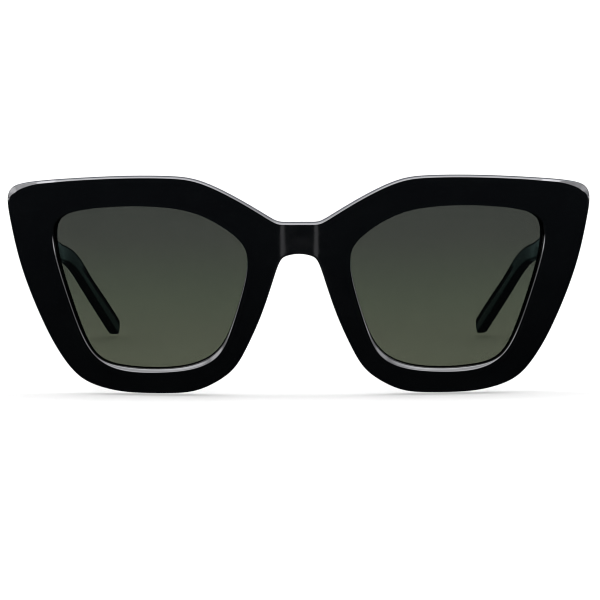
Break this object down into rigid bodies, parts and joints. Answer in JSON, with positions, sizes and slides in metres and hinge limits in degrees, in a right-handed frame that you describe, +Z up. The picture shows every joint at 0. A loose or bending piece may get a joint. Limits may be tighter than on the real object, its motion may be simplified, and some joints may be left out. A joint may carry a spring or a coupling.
{
  "type": "cat eye sunglasses",
  "caption": "Thick black acetate cat eye sunglasses with gradient lenses and temples that fold on five-barrel hinges.",
  "frame": {"origin": "on the surface that the open glasses stand on, under the middle of their bounding box", "axes": "+Z up, -Y out through the lenses, +X to the wearer's left; left and right in the names are the wearer's"},
  "size_m": [0.146, 0.1404, 0.0542],
  "materials": {
    "front_acetate": "polished black cellulose acetate",
    "temple_acetate": "polished black cellulose acetate",
    "tinted_lens": "polished tinted lens, smoke grey at the top to olive at the bottom",
    "hinge_metal": "nickel-plated hinge, fine machining marks",
    "screw_steel": "bright stainless steel",
    "core_wire_metal": "drawn nickel silver wire"
  },
  "bodies": {
    "front": {"front_frame": "front_acetate", "lens_left": "tinted_lens", "nose_pad_left": "front_acetate", "front_hinge_left": "hinge_metal", "hinge_screw_left": "screw_steel", "front_hinge_pin_lower_left": "screw_steel", "front_hinge_pin_upper_left": "screw_steel", "lens_right": "tinted_lens", "nose_pad_right": "front_acetate", "front_hinge_right": "hinge_metal", "hinge_screw_right": "screw_steel", "front_hinge_pin_lower_right": "screw_steel", "front_hinge_pin_upper_right": "screw_steel"},
    "left_temple_assembly": {"temple_hinge_left": "hinge_metal", "temple_left": "temple_acetate", "core_wire_left": "core_wire_metal", "temple_hinge_pin_fore_left": "screw_steel", "temple_hinge_pin_rear_left": "screw_steel"},
    "right_temple_assembly": {"temple_hinge_right": "hinge_metal", "temple_right": "temple_acetate", "core_wire_right": "core_wire_metal", "temple_hinge_pin_fore_right": "screw_steel", "temple_hinge_pin_rear_right": "screw_steel"}
  },
  "joints": [
    {"name": "temple_fold_left", "type": "hinge", "parent": "front", "child": "left_temple_assembly", "pos_m": [0.063, -0.05663, 0.0406], "axis": [0, 0, 1], "range_deg": [0, 85]},
    {"name": "temple_fold_right", "type": "hinge", "parent": "front", "child": "right_temple_assembly", "pos_m": [-0.063, -0.05663, 0.0406], "axis": [0, 0, -1], "range_deg": [0, 76]}
  ]
}
